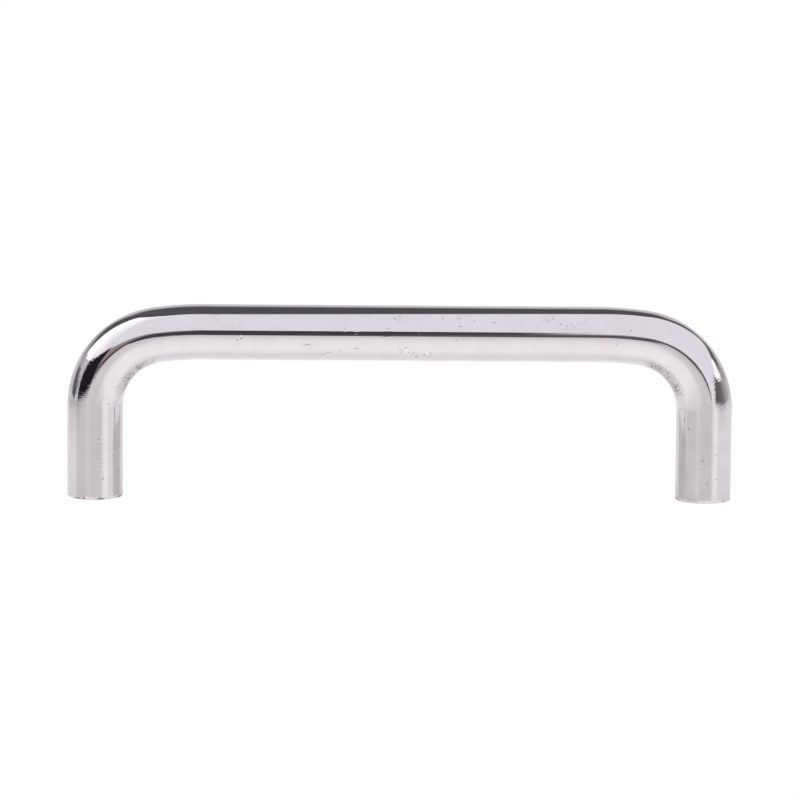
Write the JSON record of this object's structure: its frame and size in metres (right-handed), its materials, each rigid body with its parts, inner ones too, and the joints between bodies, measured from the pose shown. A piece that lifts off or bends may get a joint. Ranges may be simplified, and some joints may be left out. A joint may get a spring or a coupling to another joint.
{
  "type": "arch handle",
  "caption": "Round bar bent into an arch with feet that stand square on the mounting face, each with a tapped screw hole; a pull for a cabinet door or drawer.",
  "frame": {"origin": "midway between the two screw holes, on the mounting face", "axes": "+X along the grip, +Y across it, +Z away from the door or drawer front"},
  "size_m": [0.12, 0.01, 0.035],
  "materials": {
    "chrome_plate": "bright chrome plate on a steel bar, mirror polished along the grip, duller and grained inside the bends, with scattered pits and light scratches"
  },
  "bodies": {
    "root": {"handle_bar": "chrome_plate"}
  },
  "joints": []
}
